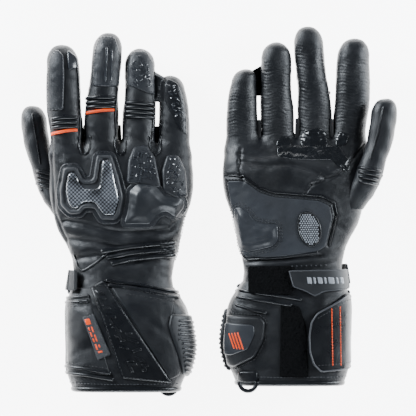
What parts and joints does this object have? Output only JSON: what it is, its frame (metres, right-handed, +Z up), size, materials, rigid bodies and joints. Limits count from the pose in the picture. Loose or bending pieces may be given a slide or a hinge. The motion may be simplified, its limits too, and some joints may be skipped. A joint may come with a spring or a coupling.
{
  "type": "riding gloves",
  "caption": "Pair of black leather race gloves with gauntlet cuffs, moulded knuckle guard, palm slider, wrist strap and cuff flap, one palm down and one palm up.",
  "frame": {"origin": "on the surface under the middle of the pair's bounding box", "axes": "+Z up, +Y towards the fingertips, +X from the palm-down glove to the palm-up glove"},
  "size_m": [0.297, 0.2915, 0.0521],
  "materials": {
    "black_leather": "grained, satin",
    "matte_guard": "matte, fine texture",
    "carbon_weave": "clear-coated twill weave",
    "satin_moulding": "satin",
    "gloss_pattern": "glossy strokes on matte",
    "grip_print": "crinkled gloss",
    "mesh_print": "silver hexagon print",
    "cuff_moulding": "matte with orange stripes",
    "strap_moulding": "matte moulded rubber",
    "loop_fabric": "fuzzy loop pile",
    "webbing": "woven webbing",
    "orange_trim": "satin orange piping and thread"
  },
  "bodies": {
    "palm_down_hand": {"palm_down_back_panel": "black_leather", "palm_down_palm_panel": "black_leather", "palm_down_knuckle_guard": "matte_guard", "palm_down_carbon_insert": "carbon_weave", "palm_down_outer_guard": "satin_moulding", "palm_down_knuckle_pads": "gloss_pattern", "palm_down_palm_slider": "satin_moulding", "palm_down_grip_patch": "grip_print", "palm_down_mesh_patch": "mesh_print", "palm_down_wrist_loop": "loop_fabric", "palm_down_strap_keeper": "webbing", "palm_down_cuff_back": "black_leather", "palm_down_cuff_front": "black_leather", "palm_down_cuff_slider": "satin_moulding", "palm_down_cuff_pad": "cuff_moulding", "palm_down_cuff_loop": "loop_fabric", "palm_down_pull_tab": "webbing"},
    "palm_down_index_base": {"palm_down_index_base": "black_leather"},
    "palm_down_index_tip": {"palm_down_index_tip": "black_leather"},
    "palm_down_middle_base": {"palm_down_middle_base": "black_leather"},
    "palm_down_middle_tip": {"palm_down_middle_tip": "black_leather"},
    "palm_down_ring_base": {"palm_down_ring_base": "black_leather"},
    "palm_down_ring_tip": {"palm_down_ring_tip": "black_leather", "palm_down_finger_bridge": "black_leather"},
    "palm_down_little_base": {"palm_down_little_base": "black_leather"},
    "palm_down_little_tip": {"palm_down_little_tip": "black_leather"},
    "palm_down_thumb_base": {"palm_down_thumb_base": "black_leather"},
    "palm_down_thumb_tip": {"palm_down_thumb_tip": "black_leather"},
    "palm_down_wrist_strap": {"palm_down_wrist_strap": "strap_moulding"},
    "palm_down_cuff_flap": {"palm_down_cuff_flap": "black_leather"},
    "palm_up_hand": {"palm_up_back_panel": "black_leather", "palm_up_palm_panel": "black_leather", "palm_up_knuckle_guard": "matte_guard", "palm_up_carbon_insert": "carbon_weave", "palm_up_outer_guard": "satin_moulding", "palm_up_knuckle_pads": "gloss_pattern", "palm_up_palm_slider": "satin_moulding", "palm_up_grip_patch": "grip_print", "palm_up_mesh_patch": "mesh_print", "palm_up_wrist_loop": "loop_fabric", "palm_up_strap_keeper": "webbing", "palm_up_cuff_back": "black_leather", "palm_up_cuff_front": "black_leather", "palm_up_cuff_slider": "satin_moulding", "palm_up_cuff_pad": "cuff_moulding", "palm_up_cuff_loop": "loop_fabric", "palm_up_pull_tab": "webbing"},
    "palm_up_index_base": {"palm_up_index_base": "black_leather"},
    "palm_up_index_tip": {"palm_up_index_tip": "black_leather"},
    "palm_up_middle_base": {"palm_up_middle_base": "black_leather"},
    "palm_up_middle_tip": {"palm_up_middle_tip": "black_leather"},
    "palm_up_ring_base": {"palm_up_ring_base": "black_leather"},
    "palm_up_ring_tip": {"palm_up_ring_tip": "black_leather", "palm_up_finger_bridge": "black_leather"},
    "palm_up_little_base": {"palm_up_little_base": "black_leather"},
    "palm_up_little_tip": {"palm_up_little_tip": "black_leather"},
    "palm_up_thumb_base": {"palm_up_thumb_base": "black_leather"},
    "palm_up_thumb_tip": {"palm_up_thumb_tip": "black_leather"},
    "palm_up_wrist_strap": {"palm_up_wrist_strap": "strap_moulding"},
    "palm_up_cuff_flap": {"palm_up_cuff_flap": "black_leather"}
  },
  "joints": [
    {"name": "palm_up_lift", "type": "slide", "parent": "palm_down_hand", "child": "palm_up_hand", "axis": [0, 0, 1], "range_m": [0, 0.15]},
    {"name": "palm_down_index_knuckle", "type": "hinge", "parent": "palm_down_hand", "child": "palm_down_index_base", "pos_m": [-0.1121, 0.049, 0.024], "axis": [-1, 0, 0], "range_deg": [0, 50], "stiffness_Nm_per_rad": 0.12},
    {"name": "palm_down_index_middle_joint", "type": "hinge", "parent": "palm_down_index_base", "child": "palm_down_index_tip", "pos_m": [-0.1121, 0.0696, 0.024], "axis": [-1, 0, 0], "range_deg": [0, 70], "stiffness_Nm_per_rad": 0.12},
    {"name": "palm_down_middle_knuckle", "type": "hinge", "parent": "palm_down_hand", "child": "palm_down_middle_base", "pos_m": [-0.0846, 0.049, 0.024], "axis": [-1, 0, 0], "range_deg": [0, 50], "stiffness_Nm_per_rad": 0.12},
    {"name": "palm_down_middle_middle_joint", "type": "hinge", "parent": "palm_down_middle_base", "child": "palm_down_middle_tip", "pos_m": [-0.0846, 0.0856, 0.024], "axis": [-1, 0, 0], "range_deg": [0, 70], "stiffness_Nm_per_rad": 0.12},
    {"name": "palm_down_ring_knuckle", "type": "hinge", "parent": "palm_down_hand", "child": "palm_down_ring_base", "pos_m": [-0.0567, 0.049, 0.023], "axis": [-1, 0, 0], "range_deg": [0, 50], "stiffness_Nm_per_rad": 0.12},
    {"name": "palm_down_ring_middle_joint", "type": "hinge", "parent": "palm_down_ring_base", "child": "palm_down_ring_tip", "pos_m": [-0.0567, 0.08, 0.023], "axis": [-1, 0, 0], "range_deg": [0, 70], "stiffness_Nm_per_rad": 0.12},
    {"name": "palm_down_little_knuckle", "type": "hinge", "parent": "palm_down_hand", "child": "palm_down_little_base", "pos_m": [-0.0281, 0.049, 0.0215], "axis": [-1, 0, 0], "range_deg": [0, 50], "stiffness_Nm_per_rad": 0.12},
    {"name": "palm_down_little_middle_joint", "type": "hinge", "parent": "palm_down_little_base", "child": "palm_down_little_tip", "pos_m": [-0.0281, 0.08, 0.0215], "axis": [-1, 0, 0], "range_deg": [0, 70], "stiffness_Nm_per_rad": 0.12},
    {"name": "palm_down_thumb_knuckle", "type": "hinge", "parent": "palm_down_hand", "child": "palm_down_thumb_base", "pos_m": [-0.1267, 0.022, 0.009], "axis": [0.835, 0.2654, 0.4821], "range_deg": [-35, 0], "stiffness_Nm_per_rad": 0.12},
    {"name": "palm_down_thumb_middle_joint", "type": "hinge", "parent": "palm_down_thumb_base", "child": "palm_down_thumb_tip", "pos_m": [-0.1356, 0.05, 0.009], "axis": [0.8591, 0.1263, 0.496], "range_deg": [-50, 0], "stiffness_Nm_per_rad": 0.12},
    {"name": "palm_down_strap_hinge", "type": "hinge", "parent": "palm_down_hand", "child": "palm_down_wrist_strap", "pos_m": [-0.1114, -0.059, 0.0125], "axis": [0, 1, 0], "range_deg": [0, 85]},
    {"name": "palm_down_flap_hinge", "type": "hinge", "parent": "palm_down_hand", "child": "palm_down_cuff_flap", "pos_m": [-0.1148, -0.1, 0.0165], "axis": [0, 1, 0], "range_deg": [0, 120]},
    {"name": "palm_up_index_knuckle", "type": "hinge", "parent": "palm_up_hand", "child": "palm_up_index_base", "pos_m": [0.1121, 0.0538, 0.0265], "axis": [1, 0, 0], "range_deg": [0, 50], "stiffness_Nm_per_rad": 0.12},
    {"name": "palm_up_index_middle_joint", "type": "hinge", "parent": "palm_up_index_base", "child": "palm_up_index_tip", "pos_m": [0.1121, 0.0744, 0.0265], "axis": [1, 0, 0], "range_deg": [0, 70], "stiffness_Nm_per_rad": 0.12},
    {"name": "palm_up_middle_knuckle", "type": "hinge", "parent": "palm_up_hand", "child": "palm_up_middle_base", "pos_m": [0.0846, 0.0538, 0.0265], "axis": [1, 0, 0], "range_deg": [0, 50], "stiffness_Nm_per_rad": 0.12},
    {"name": "palm_up_middle_middle_joint", "type": "hinge", "parent": "palm_up_middle_base", "child": "palm_up_middle_tip", "pos_m": [0.0846, 0.0904, 0.0265], "axis": [1, 0, 0], "range_deg": [0, 70], "stiffness_Nm_per_rad": 0.12},
    {"name": "palm_up_ring_knuckle", "type": "hinge", "parent": "palm_up_hand", "child": "palm_up_ring_base", "pos_m": [0.0567, 0.0538, 0.0275], "axis": [1, 0, 0], "range_deg": [0, 50], "stiffness_Nm_per_rad": 0.12},
    {"name": "palm_up_ring_middle_joint", "type": "hinge", "parent": "palm_up_ring_base", "child": "palm_up_ring_tip", "pos_m": [0.0567, 0.0848, 0.0275], "axis": [1, 0, 0], "range_deg": [0, 70], "stiffness_Nm_per_rad": 0.12},
    {"name": "palm_up_little_knuckle", "type": "hinge", "parent": "palm_up_hand", "child": "palm_up_little_base", "pos_m": [0.0281, 0.0538, 0.029], "axis": [1, 0, 0], "range_deg": [0, 50], "stiffness_Nm_per_rad": 0.12},
    {"name": "palm_up_little_middle_joint", "type": "hinge", "parent": "palm_up_little_base", "child": "palm_up_little_tip", "pos_m": [0.0281, 0.0848, 0.029], "axis": [1, 0, 0], "range_deg": [0, 70], "stiffness_Nm_per_rad": 0.12},
    {"name": "palm_up_thumb_knuckle", "type": "hinge", "parent": "palm_up_hand", "child": "palm_up_thumb_base", "pos_m": [0.1267, 0.0268, 0.0415], "axis": [-0.835, 0.2654, -0.4821], "range_deg": [-35, 0], "stiffness_Nm_per_rad": 0.12},
    {"name": "palm_up_thumb_middle_joint", "type": "hinge", "parent": "palm_up_thumb_base", "child": "palm_up_thumb_tip", "pos_m": [0.1356, 0.0548, 0.0415], "axis": [-0.8591, 0.1263, -0.496], "range_deg": [-50, 0], "stiffness_Nm_per_rad": 0.12},
    {"name": "palm_up_strap_hinge", "type": "hinge", "parent": "palm_up_hand", "child": "palm_up_wrist_strap", "pos_m": [0.1114, -0.0542, 0.038], "axis": [0, 1, 0], "range_deg": [0, 85]},
    {"name": "palm_up_flap_hinge", "type": "hinge", "parent": "palm_up_hand", "child": "palm_up_cuff_flap", "pos_m": [0.1148, -0.0952, 0.034], "axis": [0, 1, 0], "range_deg": [0, 120]}
  ],
  "couplings": [
    {"joint": "palm_down_little_knuckle", "follows": "palm_down_ring_knuckle", "ratio": 1},
    {"joint": "palm_down_little_middle_joint", "follows": "palm_down_ring_middle_joint", "ratio": 1},
    {"joint": "palm_up_little_knuckle", "follows": "palm_up_ring_knuckle", "ratio": 1},
    {"joint": "palm_up_little_middle_joint", "follows": "palm_up_ring_middle_joint", "ratio": 1}
  ]
}
